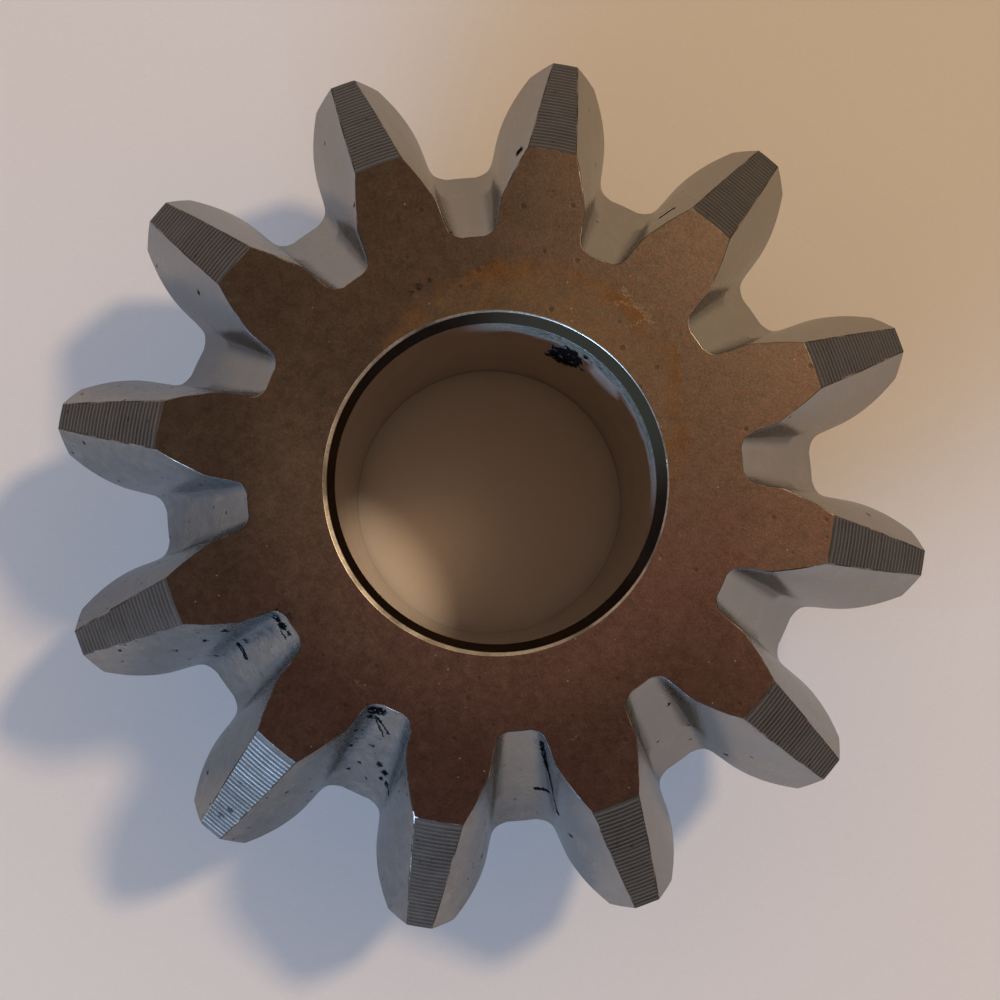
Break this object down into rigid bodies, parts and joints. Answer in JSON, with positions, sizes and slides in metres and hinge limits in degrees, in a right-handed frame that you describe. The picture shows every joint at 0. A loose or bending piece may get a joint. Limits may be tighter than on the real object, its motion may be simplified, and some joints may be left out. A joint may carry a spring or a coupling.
{
  "type": "straight bevel gear",
  "caption": "Straight bevel gear with pointed conical teeth, a flat small-end face, a conical back with a narrow rest land, and a plain chamfered running bore.",
  "frame": {"origin": "centre of the bore at the flat rest land on the back of the hub", "axes": "+Z along the bore axis, towards the small (toe) end and the pitch apex; +X through the middle of a tooth space"},
  "size_m": [0.0576, 0.0576, 0.025],
  "materials": {
    "gear_steel": "forged and turned steel, matte dark face, grey flanks, polished bore"
  },
  "bodies": {
    "root": {"bevel_gear": "gear_steel"}
  },
  "joints": []
}
